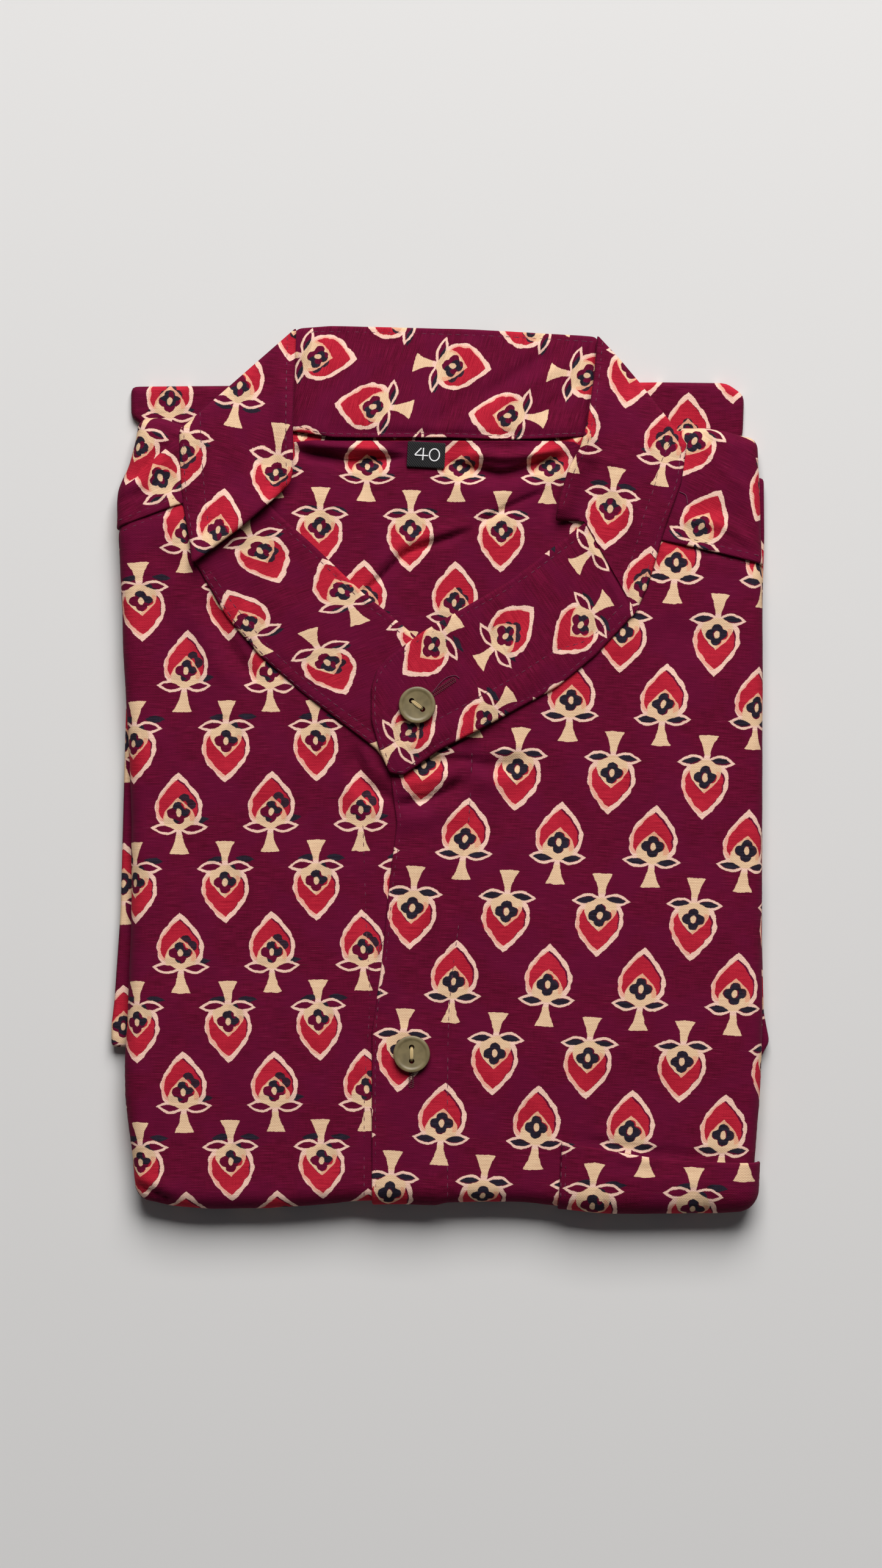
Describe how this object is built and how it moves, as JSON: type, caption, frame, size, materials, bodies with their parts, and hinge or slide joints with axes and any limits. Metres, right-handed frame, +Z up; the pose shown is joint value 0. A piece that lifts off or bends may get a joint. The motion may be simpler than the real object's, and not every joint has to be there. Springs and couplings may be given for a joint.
{
  "type": "folded kurta tunic",
  "caption": "Block printed cotton kurta tunic folded into a flat packet, with stand collar, buttoned placket and patch pocket.",
  "frame": {"origin": "centre of the folded packet's outline, on the surface that it rests on", "axes": "+Z up through the folded layers to the fronts, +Y along the placket towards the collar, +X to the right as seen from above"},
  "size_m": [0.2304, 0.3103, 0.0191],
  "materials": {
    "printed_cotton": "fine plain weave with a block print of small leaf motifs in red, cream and indigo",
    "label_cloth": "black woven twill with plain stitched numbers",
    "horn_button": "satin olive tan with a low rim"
  },
  "bodies": {
    "root": {"folded_stack": "printed_cotton", "sleeve_left": "printed_cotton", "sleeve_right": "printed_cotton", "tail_fold": "printed_cotton", "front_left": "printed_cotton", "front_right": "printed_cotton", "yoke_left": "printed_cotton", "yoke_right": "printed_cotton", "back_panel": "printed_cotton", "collar_back": "printed_cotton", "collar_side_left": "printed_cotton", "collar_side_right": "printed_cotton", "collar_slant_left": "printed_cotton", "collar_tab": "printed_cotton", "placket": "printed_cotton", "pocket": "printed_cotton", "neck_label": "label_cloth", "button_upper": "horn_button", "button_lower": "horn_button"}
  },
  "joints": []
}
